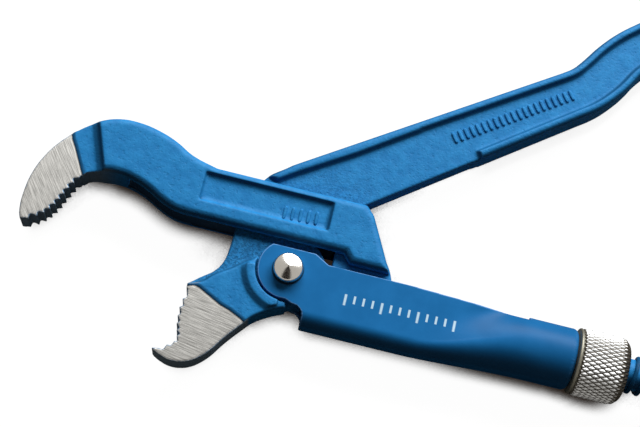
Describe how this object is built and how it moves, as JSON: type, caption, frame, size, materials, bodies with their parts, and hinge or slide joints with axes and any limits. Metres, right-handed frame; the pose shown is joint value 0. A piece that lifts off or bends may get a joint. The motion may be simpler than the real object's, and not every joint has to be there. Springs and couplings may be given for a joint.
{
  "type": "adjustable pipe pliers",
  "caption": "Adjustable pipe pliers with S-shaped toothed jaws, two forged levers, a pressed sheet sleeve on a pivot rivet and a knurled adjusting nut on a threaded spindle.",
  "frame": {"origin": "on the pivot's axis, at the small flat on the rear rivet head, which is the lowest point of the tool as it lies", "axes": "+X along the spindle from the jaws towards the lower grip, +Y in the plane of the levers towards the upper grip, +Z out of the side that is seen, along the pivot's axis"},
  "size_m": [0.2517, 0.1592, 0.021],
  "materials": {
    "blue_paint": "satin blue powder coat over forged steel; the sides of the jaws' ends are ground bare",
    "sleeve_paint": "satin blue powder coat over pressed sheet steel",
    "bright_steel": "nickel-plated steel, knurled outside",
    "polished_steel": "polished domed rivet head"
  },
  "bodies": {
    "upper_lever": {"upper_jaw_lever": "blue_paint"},
    "sleeve_unit": {"sleeve": "sleeve_paint", "pivot_rivet": "polished_steel"},
    "lower_lever": {"lower_jaw_lever": "blue_paint"},
    "nut": {"adjusting_nut": "bright_steel"}
  },
  "joints": [
    {"name": "sleeve_slide", "type": "slide", "parent": "upper_lever", "child": "sleeve_unit", "axis": [1, 0, 0], "range_m": [-0.021, 0]},
    {"name": "lower_jaw_pivot", "type": "hinge", "parent": "sleeve_unit", "child": "lower_lever", "pos_m": [0, 0, 0.0105], "axis": [0, 0, 1], "range_deg": [-25, 1]},
    {"name": "nut_spin", "type": "hinge", "parent": "sleeve_unit", "child": "nut", "pos_m": [0.0967, -0.0047, 0.0105], "axis": [1, 0, 0], "range_deg": [-2521, 1]}
  ],
  "couplings": [
    {"joint": "nut_spin", "follows": "sleeve_slide", "rad_per_m": 2094.4}
  ]
}
